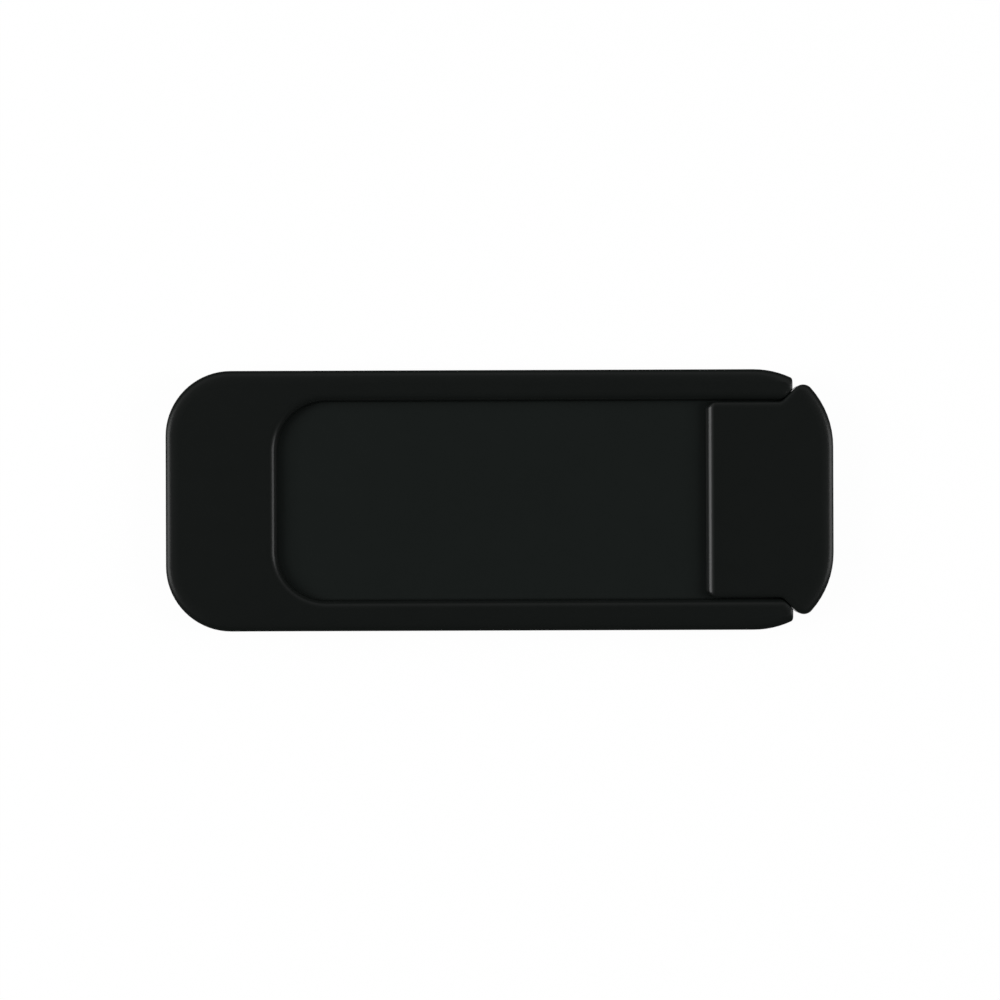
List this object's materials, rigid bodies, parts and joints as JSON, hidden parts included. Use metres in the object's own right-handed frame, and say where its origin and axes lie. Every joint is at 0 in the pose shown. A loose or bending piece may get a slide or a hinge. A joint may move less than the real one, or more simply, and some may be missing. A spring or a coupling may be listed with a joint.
{
  "type": "webcam cover slider",
  "caption": "Flat U-shaped stick-on frame with a grooved pull-out shutter that ends in a winged grip; it covers or clears a camera in a screen bezel.",
  "frame": {"origin": "under the middle of the closed cover, on the sticky face of the tape", "axes": "+X the way the shutter pulls out, along the cover's length; +Z away from the screen that the cover sticks to"},
  "size_m": [0.041, 0.016, 0.0025],
  "materials": {
    "frame_moulding": "black moulded plastic, satin, fine spark-eroded grain",
    "slider_moulding": "black moulded plastic, satin, fine spark-eroded grain",
    "tape": "pale grey double-sided foam tape with a tacky face"
  },
  "bodies": {
    "fixed_frame": {"frame": "frame_moulding", "adhesive_pad": "tape"},
    "sliding_shutter": {"slider": "slider_moulding"}
  },
  "joints": [
    {"name": "shutter_slide", "type": "slide", "parent": "fixed_frame", "child": "sliding_shutter", "axis": [1, 0, 0], "range_m": [0, 0.014]}
  ]
}
